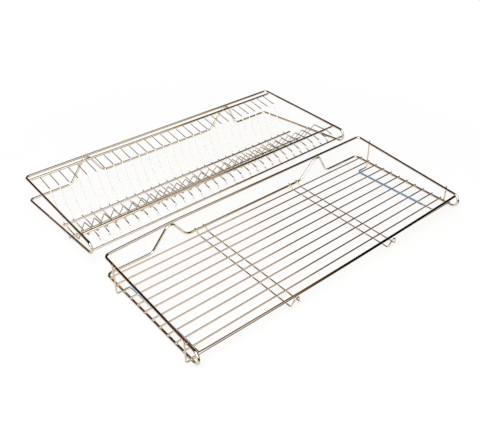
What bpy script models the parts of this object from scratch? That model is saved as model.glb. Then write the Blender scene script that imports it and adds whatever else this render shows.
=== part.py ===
"""Wire dish rack set for a wall cupboard: a glass rack in front of a plate rack.

Metres, +Z up, +X to the right and +Y to the rear, as the set lies on a floor.
Each rack hangs on an empty. A rack's own X starts at the centre of its left end
wires, its own Y at its front face, and Z = 0 is the floor that both racks stand on.
The world origin is the middle of the set's underside.
"""
import math

import bpy
from mathutils import Quaternion, Vector

# Stock wire and the clearance that touching pieces keep
FRAME_WIRE_D = 0.006
SHELF_WIRE_D = 0.0035
HAIRPIN_WIRE_D = 0.003
TRAY_WIRE_D = 0.0035
DIVIDER_WIRE_D = 0.0028
LIGHT_RAIL_D = 0.005
SLEEVE_WALL = 0.0003
TOUCH_GAP = 0.0003

# Both racks: widths are between the centres of the end wires, heights are of wire centres
RACK_WIDTH = 0.765
REAR_RUN_Y = 0.3206
REAR_CORNER_BEND_R = 0.010
LEFT_HUMP_START_SHARE = 0.1444
LEFT_HUMP_RISE = 0.0425
LEFT_HUMP_TOP = 0.0145
LEFT_HUMP_FALL = 0.036
RIGHT_HUMP_START_SHARE = 0.7268
RIGHT_HUMP_RISE = 0.045
RIGHT_HUMP_TOP = 0.017
RIGHT_HUMP_FALL = 0.031
HUMP_START_BEND_R = 0.014
HUMP_END_BEND_R = 0.024
HUMP_CROWN_BEND_SHARE = 0.95

# Glass rack frame: its upper rear run droops to the left of the first hump
GLASS_REAR_LEAN = 0.0023
GLASS_RIM_FRONT_Z = 0.0476
GLASS_RIM_REAR_Z = 0.0816
GLASS_RIM_LEFT_REAR_Z = 0.0739
GLASS_RIM_CREST_Z = 0.0819
GLASS_RIM_CREST_BEND_R = 0.25
GLASS_FLOOR_LEFT_FRONT_Z = 0.0169
GLASS_FLOOR_LEFT_REAR_Z = 0.0234
GLASS_FLOOR_RIGHT_FRONT_Z = 0.0166
GLASS_FLOOR_RIGHT_REAR_Z = 0.0224
GLASS_MIDDLE_RUN_Z = 0.0292
GLASS_TOP_RAIL_LEFT_LEAN = math.radians(42)
GLASS_TOP_RAIL_RIGHT_LEAN = math.radians(31)
GLASS_TOP_RAIL_BOW = 0.0039
GLASS_TOP_RAIL_PARTS = 9

# Glass rack shelf
SHELF_WIRE_COUNT = 11
SHELF_REAR_MARGIN = 0.0187
SHELF_FIRST_WIRE_SPACE = 0.0220
SHELF_FRONT_RAIL_Y = 0.0242
SHELF_REAR_SKEW_Y = 0.002
SHELF_FRONT_SKEW_Y = 0.003
SHELF_LEFT_OVERRUN = 0.003
SHELF_RIGHT_OVERRUN = 0.002
HAIRPIN_CENTRE_SHARES = (0.311, 0.692)
HAIRPIN_SPREAD = 0.024
HAIRPIN_REAR_OVERRUN = 0.002
HAIRPIN_STEP_RUN = 0.0145
HAIRPIN_BEND_R = 0.004
HAIRPIN_TIP_Y = 0.0083
HAIRPIN_ARCH_HEIGHT = 0.0195
HAIRPIN_ARCH_LEAN = 0.0035
HAIRPIN_CREST = 0.010

# Tray supports under the glass rack: the right one sits further back and lower
TRAY_REAR_SETBACK = 0.0403
TRAY_DEPTH = 0.243
TRAY_RIGHT_SHIFT_Y = 0.005
TRAY_LEFT_RUN_INSET = 0.028
TRAY_RIGHT_RUN_INSET = 0.031
TRAY_LEFT_HOOK_ABOVE_RIM = 0.008
TRAY_RIGHT_HOOK_ABOVE_RIM = 0.0045
TRAY_POST_BEND_R = 0.005
TRAY_LEFT_RUN_BEND_R = 0.006
TRAY_RIGHT_RUN_BEND_R = 0.012
SLEEVE_START_INSET = 0.013
SLEEVE_FRONT_SETBACK = 0.0362

# Plate rack frame, whose front bend is taller at the right end
PLATE_REAR_LEAN = 0.0061
PLATE_RIM_LEFT_FRONT_Z = 0.0779
PLATE_RIM_RIGHT_FRONT_Z = 0.0822
PLATE_RIM_LEFT_REAR_Z = 0.0945
PLATE_RIM_RIGHT_REAR_Z = 0.0955
PLATE_FLOOR_FRONT_Z = 0.0500
PLATE_FLOOR_LEFT_REAR_Z = 0.0272
PLATE_FLOOR_RIGHT_REAR_Z = 0.0239
PLATE_MIDDLE_RUN_Z = 0.0337
SECOND_REAR_RAIL_SETBACK = 0.0132
SECOND_REAR_RAIL_Z = 0.0903
PLATE_TOP_RAIL_Y = 0.0414
PLATE_TOP_RAIL_Z = 0.0820
PLATE_LOWER_RAIL_LEFT_TURN = math.radians(120)
PLATE_LOWER_RAIL_RIGHT_TURN = math.radians(105)
PLATE_LOWER_RAIL_LAP = 0.0015
PLATE_LOWER_RAIL_OFFSET = 0.003

# Plate dividers, in the rack's own Y and Z: their front half skews a little to the rear at the right
DIVIDER_COUNT = 30
FIRST_DIVIDER_X = 0.0291
LAST_DIVIDER_MARGIN = 0.0254
BACK_KNEE_Y = 0.2552
BACK_KNEE_Z = 0.0810
BACK_WAIST_Y = 0.2384
BACK_WAIST_Z = 0.0418
SEAT_REAR_Y = 0.2129
SEAT_REAR_RISE = 0.0045
SEAT_LOW_Y = 0.1679
SEAT_FRONT_Y = 0.1373
SEAT_FRONT_SKEW_Y = 0.0055
PEAK_Y = 0.0873
PEAK_SKEW_Y = 0.0025
PEAK_Z = 0.0756
PEAK_SKEW_Z = 0.0012
NOSE_Y = 0.0213
NOSE_Z = 0.0725
CHIN_Y = 0.0195
CHIN_Z = 0.0667
DIVIDER_BEND_R = 0.004
WAIST_BEND_R = 0.030
NOSE_BEND_R = 0.003
REAR_BASE_RAIL_Y = 0.1989
FRONT_BASE_RAIL_Y = 0.1509
REAR_BASE_RAIL_LEFT_OVERHANG = 0.0088
FRONT_BASE_RAIL_LEFT_OVERHANG = 0.0163
BASE_RAIL_RIGHT_OVERHANG = 0.0147

# How the two racks lie beside each other
PLATE_RACK_SHIFT_X = -0.0043
RACK_SPACE_Y = 0.0395

# Facets of the round stock
FRAME_SIDES = 12
RAIL_SIDES = 8
DIVIDER_SIDES = 6

FRAME_R = FRAME_WIRE_D / 2
SHELF_WIRE_R = SHELF_WIRE_D / 2
HAIRPIN_R = HAIRPIN_WIRE_D / 2
TRAY_WIRE_R = TRAY_WIRE_D / 2
SLEEVE_D = TRAY_WIRE_D + 2 * (TOUCH_GAP + SLEEVE_WALL)
DIVIDER_R = DIVIDER_WIRE_D / 2
LIGHT_RAIL_R = LIGHT_RAIL_D / 2
END_INSET = FRAME_R + TOUCH_GAP
GLASS_LOWER_REAR_Y = REAR_RUN_Y + GLASS_REAR_LEAN
PLATE_LOWER_REAR_Y = REAR_RUN_Y + PLATE_REAR_LEAN
SECOND_REAR_RAIL_Y = REAR_RUN_Y - SECOND_REAR_RAIL_SETBACK
TRAY_REAR_Y = REAR_RUN_Y - TRAY_REAR_SETBACK


def clear_scene():
    """Remove whatever the file opens with."""
    for item in list(bpy.data.objects):
        bpy.data.objects.remove(item, do_unlink=True)


def finish(name, colour, metallic, roughness):
    """A Principled BSDF finish of one colour."""
    material = bpy.data.materials.new(name)
    material.use_nodes = True
    shader = material.node_tree.nodes["Principled BSDF"]
    shader.inputs["Base Color"].default_value = colour
    shader.inputs["Metallic"].default_value = metallic
    shader.inputs["Roughness"].default_value = roughness
    return material


def rack_empty(name, place):
    """The empty that carries one rack."""
    empty = bpy.data.objects.new(name, None)
    empty.location = place
    bpy.context.collection.objects.link(empty)
    return empty


def apothem(diameter, sides):
    """Distance from the centre of a faceted rod to its flats."""
    return diameter / 2 * math.cos(math.pi / sides)


def bend_steps(turn, step_angle):
    """How many facets an arc of this turn takes."""
    return max(1, round(turn / step_angle))


def rounded_route(corners, step_angle, closed=False):
    """Straight runs between corners, each corner bent to its own radius.

    A corner is (point, radius). Its arc touches both runs at radius * tan(turn / 2)
    from the corner, and its centre lies radius / cos(turn / 2) from the corner.
    """
    count = len(corners)
    route = []
    for index, (corner, radius) in enumerate(corners):
        if not closed and index in (0, count - 1):
            route.append(corner)
            continue
        back = (corners[index - 1][0] - corner).normalized()
        ahead = (corners[(index + 1) % count][0] - corner).normalized()
        turn = math.pi - back.angle(ahead)
        reach = radius * math.tan(turn / 2)
        centre = corner + (back + ahead).normalized() * (radius / math.cos(turn / 2))
        first_spoke = corner + back * reach - centre
        last_spoke = corner + ahead * reach - centre
        axis = first_spoke.cross(last_spoke).normalized()
        steps = bend_steps(turn, step_angle)
        for step in range(steps + 1):
            route.append(centre + Quaternion(axis, turn * step / steps) @ first_spoke)
    return route


def bent_wire(name, route, diameter, sides, material, rack, closed=False, wall=0):
    """A round wire along a route, or a sleeve if it has a wall, with a flat facet below."""
    roll = 0 if sides % 4 else math.pi / sides
    curve = bpy.data.curves.new(name, "CURVE")
    curve.dimensions = "3D"
    curve.twist_mode = "MINIMUM"
    curve.bevel_depth = diameter / 2
    curve.bevel_resolution = sides // 2 - 2
    curve.use_fill_caps = not closed and not wall
    spline = curve.splines.new("POLY")
    spline.points.add(len(route) - 1)
    for point, place in zip(spline.points, route):
        point.co = (*place, 1)
        point.tilt = roll
    spline.use_cyclic_u = closed
    spline.use_smooth = True
    curve.materials.append(material)
    piece = bpy.data.objects.new(name, curve)
    piece.parent = rack
    bpy.context.collection.objects.link(piece)
    if wall:
        hollow = piece.modifiers.new("hollow", "SOLIDIFY")
        hollow.thickness = wall
        hollow.offset = -1
        hollow.use_even_offset = True
    return piece


def along(start, end, share):
    """The value this share of the way from start to end."""
    return start + (end - start) * share


class End:
    """One end of a frame wire, seen from the side: rim run, front bend and floor run."""

    def __init__(self, lower_rear_y, rim_front_z, rim_rear_z, floor_front_z, floor_rear_z):
        self.lower_rear_y = lower_rear_y
        self.rim_front_z = rim_front_z
        self.rim_rear_z = rim_rear_z
        self.floor_front_z = floor_front_z
        self.floor_rear_z = floor_rear_z
        rim_turn = math.pi / 2 - math.atan2(rim_rear_z - rim_front_z, REAR_RUN_Y - FRAME_R)
        floor_turn = math.pi / 2 + math.atan2(floor_rear_z - floor_front_z, lower_rear_y - FRAME_R)
        drop = rim_front_z - floor_front_z
        self.bend_r = drop / (math.tan(rim_turn / 2) + math.tan(floor_turn / 2))
        self.bend_y = FRAME_R + self.bend_r
        self.bend_z = rim_front_z - self.bend_r * math.tan(rim_turn / 2)

    def rim_z(self, y):
        """Height of the rim run."""
        return along(self.rim_front_z, self.rim_rear_z, (y - FRAME_R) / (REAR_RUN_Y - FRAME_R))

    def floor_z(self, y):
        """Height of the floor run."""
        return along(self.floor_front_z, self.floor_rear_z, (y - FRAME_R) / (self.lower_rear_y - FRAME_R))

    def on_bend(self, x, radius, lean):
        """A point on a circle about the front bend's centre, this far forward of its top."""
        return Vector((x, self.bend_y - radius * math.sin(lean), self.bend_z + radius * math.cos(lean)))

    def corners(self, x):
        """The end's corners, from the rim's rear to the floor's rear."""
        return [
            (Vector((x, REAR_RUN_Y, self.rim_rear_z)), REAR_CORNER_BEND_R),
            (Vector((x, FRAME_R, self.rim_front_z)), self.bend_r),
            (Vector((x, FRAME_R, self.floor_front_z)), self.bend_r),
            (Vector((x, self.lower_rear_y, self.floor_rear_z)), REAR_CORNER_BEND_R),
        ]


class Hump:
    """One hump of a lower rear run: where it starts, levels out, drops and ends."""

    def __init__(self, start_share, rise, top, fall):
        self.start_x = RACK_WIDTH * start_share
        self.rise_x = self.start_x + rise
        self.fall_x = self.rise_x + top
        self.end_x = self.fall_x + fall

    def crown_r(self, rise_height, fall_height):
        """Radius of the two upper bends, which share out most of the hump's top."""
        rise_turn = math.atan2(rise_height, self.rise_x - self.start_x)
        fall_turn = math.atan2(fall_height, self.end_x - self.fall_x)
        reach_share = math.tan(rise_turn / 2) + math.tan(fall_turn / 2)
        return HUMP_CROWN_BEND_SHARE * (self.fall_x - self.rise_x) / reach_share


class Frame:
    """One rack's frame wire: a closed loop of two ends, an upper and a humped lower rear run."""

    def __init__(self, left, right, middle_z, crest_z=None):
        self.left = left
        self.right = right
        self.middle_z = middle_z
        self.left_hump = Hump(LEFT_HUMP_START_SHARE, LEFT_HUMP_RISE, LEFT_HUMP_TOP, LEFT_HUMP_FALL)
        self.right_hump = Hump(RIGHT_HUMP_START_SHARE, RIGHT_HUMP_RISE, RIGHT_HUMP_TOP, RIGHT_HUMP_FALL)
        self.crest_x = (self.left_hump.rise_x + self.left_hump.fall_x) / 2
        self.crest_z = crest_z

    def upper_run_z(self, x):
        """Height of the upper rear run, which may have a crest over the first hump."""
        if self.crest_z is None:
            return along(self.left.rim_rear_z, self.right.rim_rear_z, x / RACK_WIDTH)
        if x < self.crest_x:
            return along(self.left.rim_rear_z, self.crest_z, x / self.crest_x)
        past_share = (x - self.crest_x) / (RACK_WIDTH - self.crest_x)
        return along(self.crest_z, self.right.rim_rear_z, past_share)

    def floor_z(self, x, y):
        """Height of the plane through the floor runs of both ends."""
        return along(self.left.floor_z(y), self.right.floor_z(y), x / RACK_WIDTH)

    def rear_y(self, z):
        """Depth of the rear plane, which leans between the two rear runs."""
        right = self.right
        share = (z - right.floor_rear_z) / (right.rim_rear_z - right.floor_rear_z)
        return along(right.lower_rear_y, REAR_RUN_Y, share)

    def hump_corners(self):
        """The lower rear run's corners, with its two humps up to the upper run."""
        levels = (self.left.floor_rear_z, self.middle_z, self.right.floor_rear_z)
        corners = []
        for index, hump in enumerate((self.left_hump, self.right_hump)):
            start_z, end_z = levels[index:index + 2]
            rise_z = self.upper_run_z(hump.rise_x) - FRAME_WIRE_D - TOUCH_GAP
            fall_z = self.upper_run_z(hump.fall_x) - FRAME_WIRE_D - TOUCH_GAP
            crown_r = hump.crown_r(rise_z - start_z, fall_z - end_z)
            corners += [
                (hump.start_x, start_z, HUMP_START_BEND_R),
                (hump.rise_x, rise_z, crown_r),
                (hump.fall_x, fall_z, crown_r),
                (hump.end_x, end_z, HUMP_END_BEND_R),
            ]
        return [(Vector((x, self.rear_y(z), z)), radius) for x, z, radius in corners]

    def route(self, step_angle):
        """The whole loop, from the rim's rear left corner round the left end first."""
        corners = self.left.corners(0) + self.hump_corners() + self.right.corners(RACK_WIDTH)[::-1]
        if self.crest_z is not None:
            crest = Vector((self.crest_x, REAR_RUN_Y, self.crest_z))
            corners.append((crest, GLASS_RIM_CREST_BEND_R))
        return rounded_route(corners, step_angle, closed=True)


def between_ends(name, y, z, material, rack):
    """A rail of the frame's wire, butted between the two end wires."""
    route = [Vector((x, y, z)) for x in (END_INSET, RACK_WIDTH - END_INSET)]
    bent_wire(name, route, FRAME_WIRE_D, FRAME_SIDES, material, rack)


def bowed_top_rail(frame):
    """The glass rack's front top rail, which bows forward between the front bends."""
    start = frame.left.on_bend(END_INSET, frame.left.bend_r, GLASS_TOP_RAIL_LEFT_LEAN)
    end = frame.right.on_bend(RACK_WIDTH - END_INSET, frame.right.bend_r, GLASS_TOP_RAIL_RIGHT_LEAN)
    route = []
    for part in range(GLASS_TOP_RAIL_PARTS + 1):
        share = part / GLASS_TOP_RAIL_PARTS
        bow = GLASS_TOP_RAIL_BOW * 4 * share * (1 - share)
        route.append(along(start, end, share) - Vector((0, bow, 0)))
    return route


def glass_rack(frame, rack, heavy, light, plastic):
    """The glass rack: frame, rails, shelf wires, hairpins, tray supports and sleeves."""
    step = math.radians(18)
    bent_wire("glass_frame", frame.route(step), FRAME_WIRE_D, FRAME_SIDES, heavy, rack, closed=True)
    bent_wire("glass_front_top_rail", bowed_top_rail(frame), FRAME_WIRE_D, FRAME_SIDES, heavy, rack)
    shelf(frame, rack, light)
    for side, share in zip(("left", "right"), HAIRPIN_CENTRE_SHARES):
        hairpin(f"glass_hairpin_{side}", frame, RACK_WIDTH * share, rack, light)
    left_support = TraySupport(frame.left, 0, -1, TRAY_REAR_Y, TRAY_LEFT_HOOK_ABOVE_RIM,
                               TRAY_LEFT_RUN_INSET, TRAY_LEFT_RUN_BEND_R)
    left_support.make("left", rack, light, plastic)
    right_support = TraySupport(frame.right, RACK_WIDTH, 1, TRAY_REAR_Y + TRAY_RIGHT_SHIFT_Y,
                                TRAY_RIGHT_HOOK_ABOVE_RIM, TRAY_RIGHT_RUN_INSET, TRAY_RIGHT_RUN_BEND_R)
    right_support.make("right", rack, light, plastic)


def shelf(frame, rack, light):
    """Shelf wires on top of the lower end runs, closer together at the right, and the front lower rail."""
    first_y = frame.right.lower_rear_y - SHELF_REAR_MARGIN
    last_y = SHELF_FRONT_RAIL_Y + SHELF_FIRST_WIRE_SPACE
    places = {"glass_front_lower_rail": (SHELF_FRONT_RAIL_Y, SHELF_FRONT_RAIL_Y)}
    for index in range(SHELF_WIRE_COUNT):
        share = index / (SHELF_WIRE_COUNT - 1)
        left_y = along(first_y, last_y, share)
        right_y = along(first_y - SHELF_REAR_SKEW_Y, last_y + SHELF_FRONT_SKEW_Y, share)
        places[f"glass_shelf_wire_{index + 1:02d}"] = (left_y, right_y)
    above = FRAME_R + TOUCH_GAP + SHELF_WIRE_R
    for name, (left_y, right_y) in places.items():
        route = [
            Vector((-SHELF_LEFT_OVERRUN, left_y, frame.left.floor_z(left_y) + above)),
            Vector((RACK_WIDTH + SHELF_RIGHT_OVERRUN, right_y, frame.right.floor_z(right_y) + above)),
        ]
        bent_wire(name, route, SHELF_WIRE_D, RAIL_SIDES, light, rack)


def hairpin(name, frame, centre_x, rack, light):
    """Two cross wires in one: hooked over the rear run, arched up at the front."""
    under_shelf = FRAME_R - HAIRPIN_R
    over_z = frame.middle_z + FRAME_R + TOUCH_GAP + HAIRPIN_R
    rear_y = frame.right.lower_rear_y + HAIRPIN_REAR_OVERRUN
    crook_y = frame.right.lower_rear_y - FRAME_R
    foot_y = crook_y - HAIRPIN_STEP_RUN
    crest_y = HAIRPIN_TIP_Y - HAIRPIN_ARCH_LEAN

    def leg(way):
        x = centre_x + way * HAIRPIN_SPREAD / 2
        tip_z = frame.floor_z(x, HAIRPIN_TIP_Y) + under_shelf
        crest_z = tip_z + HAIRPIN_ARCH_HEIGHT
        return [
            (Vector((x, rear_y, over_z)), 0),
            (Vector((x, crook_y, over_z)), HAIRPIN_BEND_R),
            (Vector((x, foot_y, frame.floor_z(x, foot_y) + under_shelf)), HAIRPIN_BEND_R),
            (Vector((x, HAIRPIN_TIP_Y, tip_z)), HAIRPIN_BEND_R),
            (Vector((centre_x + way * HAIRPIN_CREST / 2, crest_y, crest_z)), HAIRPIN_BEND_R),
        ]
    corners = leg(-1) + leg(1)[::-1]
    route = rounded_route(corners, math.radians(30))
    bent_wire(name, route, HAIRPIN_WIRE_D, RAIL_SIDES, light, rack)


class TraySupport:
    """A hanger outside one end with a run that carries the drip tray, and the run's sleeve."""

    def __init__(self, end, end_x, way, rear_y, hook_above_rim, run_inset, run_bend_r):
        self.end = end
        self.post_x = end_x + way * (FRAME_R + TOUCH_GAP + TRAY_WIRE_R)
        self.rear_y = rear_y
        self.front_y = rear_y - TRAY_DEPTH
        self.hook_above_rim = hook_above_rim
        self.run_z = apothem(SLEEVE_D, RAIL_SIDES)
        run_x = end_x - way * run_inset
        self.rear_corner = (Vector((run_x, self.rear_y, self.run_z)), run_bend_r)
        self.front_corner = (Vector((run_x, self.front_y, self.run_z)), run_bend_r)
        self.sleeve_start = Vector((end_x - way * SLEEVE_START_INSET, self.rear_y, self.run_z))
        self.sleeve_end = Vector((run_x, self.front_y + SLEEVE_FRONT_SETBACK, self.run_z))

    def post(self, y):
        """An upright's corners, from its end above the rim down to the run's level."""
        return [
            (Vector((self.post_x, y, self.end.rim_z(y) + self.hook_above_rim)), 0),
            (Vector((self.post_x, y, self.run_z)), TRAY_POST_BEND_R),
        ]

    def make(self, side, rack, light, plastic):
        """The bent hanger wire and the sleeve on its run."""
        step = math.radians(30)
        corners = self.post(self.rear_y) + [self.rear_corner, self.front_corner]
        corners += self.post(self.front_y)[::-1]
        bent_wire(f"tray_support_{side}", rounded_route(corners, step), TRAY_WIRE_D, RAIL_SIDES, light, rack)
        sleeve_route = rounded_route([(self.sleeve_start, 0), self.rear_corner, (self.sleeve_end, 0)], step)
        bent_wire(f"tray_sleeve_{side}", sleeve_route, SLEEVE_D, RAIL_SIDES, plastic, rack, wall=SLEEVE_WALL)


def seat_z(y):
    """Centre height of the dividers' seat, which rises a little behind its low point."""
    low = apothem(DIVIDER_WIRE_D, DIVIDER_SIDES)
    if y < SEAT_LOW_Y:
        return low
    return along(low, low + SEAT_REAR_RISE, (y - SEAT_LOW_Y) / (SEAT_REAR_Y - SEAT_LOW_Y))


def divider_route(lower_rail, skew_share):
    """A divider's side view, from the rear rail down to the seat and up to the nose."""
    under = FRAME_R + TOUCH_GAP + DIVIDER_R
    chin = Vector((0, CHIN_Y, CHIN_Z))
    knee = Vector((0, BACK_KNEE_Y, BACK_KNEE_Z))
    rear_rail = Vector((0, SECOND_REAR_RAIL_Y, SECOND_REAR_RAIL_Z))
    seat_front_y = SEAT_FRONT_Y + SEAT_FRONT_SKEW_Y * skew_share
    peak = Vector((0, PEAK_Y + PEAK_SKEW_Y * skew_share, PEAK_Z + PEAK_SKEW_Z * skew_share))
    top = rear_rail + (knee - rear_rail).normalized() * END_INSET
    end = lower_rail + (chin - lower_rail).normalized() * (LIGHT_RAIL_R + TOUCH_GAP)
    corners = [
        (top, 0),
        (knee, DIVIDER_BEND_R),
        (Vector((0, BACK_WAIST_Y, BACK_WAIST_Z)), WAIST_BEND_R),
        (Vector((0, SEAT_REAR_Y, seat_z(SEAT_REAR_Y))), DIVIDER_BEND_R),
        (Vector((0, SEAT_LOW_Y, seat_z(SEAT_LOW_Y))), DIVIDER_BEND_R),
        (Vector((0, seat_front_y, seat_z(seat_front_y))), DIVIDER_BEND_R),
        (peak, DIVIDER_BEND_R),
        (Vector((0, PLATE_TOP_RAIL_Y, PLATE_TOP_RAIL_Z - under)), DIVIDER_BEND_R),
        (Vector((0, NOSE_Y, NOSE_Z)), NOSE_BEND_R),
        (chin, NOSE_BEND_R),
        (end, 0),
    ]
    return rounded_route(corners, math.radians(45))


def base_rail(name, start_x, start_y, end_x, end_y, rack, heavy):
    """A rail welded on top of the dividers' seats."""
    slope = math.atan2(SEAT_REAR_RISE, SEAT_REAR_Y - SEAT_LOW_Y)
    above = (apothem(DIVIDER_WIRE_D, DIVIDER_SIDES) + TOUCH_GAP + LIGHT_RAIL_R) / math.cos(slope)
    ends = ((start_x, start_y), (end_x, end_y))
    route = [Vector((x, y, seat_z(y) + above)) for x, y in ends]
    bent_wire(name, route, LIGHT_RAIL_D, RAIL_SIDES, heavy, rack)


def plate_rack(frame, rack, heavy, light):
    """The plate rack: frame, rails, base rails and dividers."""
    step = math.radians(18)
    bent_wire("plate_frame", frame.route(step), FRAME_WIRE_D, FRAME_SIDES, heavy, rack, closed=True)
    between_ends("plate_second_rear_rail", SECOND_REAR_RAIL_Y, SECOND_REAR_RAIL_Z, heavy, rack)
    between_ends("plate_front_top_rail", PLATE_TOP_RAIL_Y, PLATE_TOP_RAIL_Z, heavy, rack)
    beside_r = frame.left.bend_r - PLATE_LOWER_RAIL_OFFSET
    inside_r = frame.right.bend_r - END_INSET - LIGHT_RAIL_R
    lower_rail = [
        frame.left.on_bend(END_INSET, beside_r, PLATE_LOWER_RAIL_LEFT_TURN),
        frame.right.on_bend(RACK_WIDTH + PLATE_LOWER_RAIL_LAP, inside_r, PLATE_LOWER_RAIL_RIGHT_TURN),
    ]
    bent_wire("plate_front_lower_rail", lower_rail, LIGHT_RAIL_D, RAIL_SIDES, heavy, rack)
    last_x = RACK_WIDTH - LAST_DIVIDER_MARGIN
    rail_end_x = last_x + BASE_RAIL_RIGHT_OVERHANG
    base_rail("plate_rear_base_rail", FIRST_DIVIDER_X - REAR_BASE_RAIL_LEFT_OVERHANG, REAR_BASE_RAIL_Y,
              rail_end_x, REAR_BASE_RAIL_Y, rack, heavy)
    base_rail("plate_front_base_rail", FIRST_DIVIDER_X - FRONT_BASE_RAIL_LEFT_OVERHANG, FRONT_BASE_RAIL_Y,
              rail_end_x, FRONT_BASE_RAIL_Y + SEAT_FRONT_SKEW_Y, rack, heavy)
    for index in range(DIVIDER_COUNT):
        share = index / (DIVIDER_COUNT - 1)
        x = along(FIRST_DIVIDER_X, last_x, share)
        rail_here = along(*lower_rail, x / RACK_WIDTH)
        rail_here.x = 0
        divider = bent_wire(f"plate_divider_{index + 1:02d}", divider_route(rail_here, share),
                            DIVIDER_WIRE_D, DIVIDER_SIDES, light, rack)
        divider.location.x = x


def build():
    """Place the two racks so that the set's box stands centred over the origin."""
    clear_scene()
    heavy = finish("chrome_frame", (0.66, 0.63, 0.59, 1), 1, 0.14)
    light = finish("chrome_wire", (0.60, 0.56, 0.51, 1), 1, 0.2)
    plastic = finish("blue_sleeve", (0.16, 0.36, 0.60, 1), 0, 0.4)
    glass_left = End(GLASS_LOWER_REAR_Y, GLASS_RIM_FRONT_Z, GLASS_RIM_LEFT_REAR_Z,
                     GLASS_FLOOR_LEFT_FRONT_Z, GLASS_FLOOR_LEFT_REAR_Z)
    glass_right = End(GLASS_LOWER_REAR_Y, GLASS_RIM_FRONT_Z, GLASS_RIM_REAR_Z,
                      GLASS_FLOOR_RIGHT_FRONT_Z, GLASS_FLOOR_RIGHT_REAR_Z)
    plate_left = End(PLATE_LOWER_REAR_Y, PLATE_RIM_LEFT_FRONT_Z, PLATE_RIM_LEFT_REAR_Z,
                     PLATE_FLOOR_FRONT_Z, PLATE_FLOOR_LEFT_REAR_Z)
    plate_right = End(PLATE_LOWER_REAR_Y, PLATE_RIM_RIGHT_FRONT_Z, PLATE_RIM_RIGHT_REAR_Z,
                      PLATE_FLOOR_FRONT_Z, PLATE_FLOOR_RIGHT_REAR_Z)
    glass_frame = Frame(glass_left, glass_right, GLASS_MIDDLE_RUN_Z, GLASS_RIM_CREST_Z)
    plate_frame = Frame(plate_left, plate_right, PLATE_MIDDLE_RUN_Z)
    plate_shift_y = GLASS_LOWER_REAR_Y + FRAME_R + RACK_SPACE_Y
    glass_overhang = FRAME_R + TOUCH_GAP + TRAY_WIRE_D
    left = min(-glass_overhang, PLATE_RACK_SHIFT_X - FRAME_R)
    right = RACK_WIDTH + max(glass_overhang, PLATE_RACK_SHIFT_X + FRAME_R)
    rear = plate_shift_y + PLATE_LOWER_REAR_Y + FRAME_R
    corner = Vector((-(left + right) / 2, -rear / 2, 0))
    glass_empty = rack_empty("glass_rack", corner)
    plate_empty = rack_empty("plate_rack", corner + Vector((PLATE_RACK_SHIFT_X, plate_shift_y, 0)))
    glass_rack(glass_frame, glass_empty, heavy, light, plastic)
    plate_rack(plate_frame, plate_empty, heavy, light)


build()
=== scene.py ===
# %% [markdown]
# # A chromed wire dish rack set
# Two racks lie on a white table, as they were photographed: a low shelf rack for glasses in
# front, and a rack with thirty bent dividers for plates behind it. All of it but two vinyl
# sleeves is round steel wire, so this lesson is about sweeping circles along bent paths, and
# about what polished chrome needs around it before it looks like chrome.
#
# The CAD model gives the frame: one shared set of axes in metres, +Z up, with the table at
# Z = 0. It is opened first, because the finished racks must be as big as it is.

# %%
import math

import bpy
import numpy as np
from mathutils import Matrix


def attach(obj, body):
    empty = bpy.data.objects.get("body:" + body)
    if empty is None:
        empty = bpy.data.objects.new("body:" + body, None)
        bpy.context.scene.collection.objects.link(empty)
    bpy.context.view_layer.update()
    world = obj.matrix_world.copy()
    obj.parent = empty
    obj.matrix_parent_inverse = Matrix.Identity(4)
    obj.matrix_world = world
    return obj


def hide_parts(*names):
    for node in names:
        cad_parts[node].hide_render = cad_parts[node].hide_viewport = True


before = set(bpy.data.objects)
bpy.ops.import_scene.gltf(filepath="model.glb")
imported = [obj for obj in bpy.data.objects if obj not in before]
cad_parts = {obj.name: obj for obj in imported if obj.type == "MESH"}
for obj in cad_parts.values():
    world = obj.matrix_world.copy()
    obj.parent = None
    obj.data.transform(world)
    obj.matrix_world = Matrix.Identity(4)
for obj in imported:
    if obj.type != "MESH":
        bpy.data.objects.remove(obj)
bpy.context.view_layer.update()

# %% [markdown]
# ## Small helpers for colours and shader nodes
# A hex colour is what the eye reads on a screen. A shader wants linear light, so each colour
# goes through the sRGB curve once.

# %%
def linear(hex_colour):
    """sRGB hex to linear RGBA: c / 12.92 below 0.04045, else ((c + 0.055) / 1.055) ^ 2.4."""
    parts = np.array([int(hex_colour[i:i + 2], 16) for i in (1, 3, 5)]) / 255
    light = np.where(parts <= 0.04045, parts / 12.92, ((parts + 0.055) / 1.055) ** 2.4)
    return (*light.tolist(), 1.0)


def add(tree, kind, inputs=None, **settings):
    """Add one node. Each input is a value or another node's output socket."""
    node = tree.nodes.new("ShaderNode" + kind)
    for key, value in settings.items():
        setattr(node, key, value)
    for key, value in (inputs or {}).items():
        if isinstance(value, bpy.types.NodeSocket):
            tree.links.new(value, node.inputs[key])
        else:
            node.inputs[key].default_value = value
    return node


def calc(tree, operation, *values):
    """The result of one Math node."""
    return add(tree, "Math", dict(enumerate(values)), operation=operation).outputs[0]


def noise(tree, place, per_m, detail, **more):
    """Noise with about this many features per metre of the place, which may be stretched."""
    inputs = {"Vector": place, "Scale": per_m, "Detail": detail, **more}
    return add(tree, "TexNoise", inputs).outputs["Fac"]


def blend(tree, share, first, second):
    """A colour between two others: the first where the share is 0, the second where it is 1."""
    return add(tree, "Mix", {"Factor": share, 6: first, 7: second}, data_type="RGBA").outputs[2]


def empty_material(name):
    """A material with no nodes yet."""
    material = bpy.data.materials.new(name)
    material.use_nodes = True
    material.node_tree.nodes.clear()
    return material, material.node_tree


print("white is", linear("#ffffff"))

# %% [markdown]
# ## The camera
# The photograph looks down on the racks from the front left. The place, the three directions
# and the lens come from matching the racks' corners to the picture.

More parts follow.
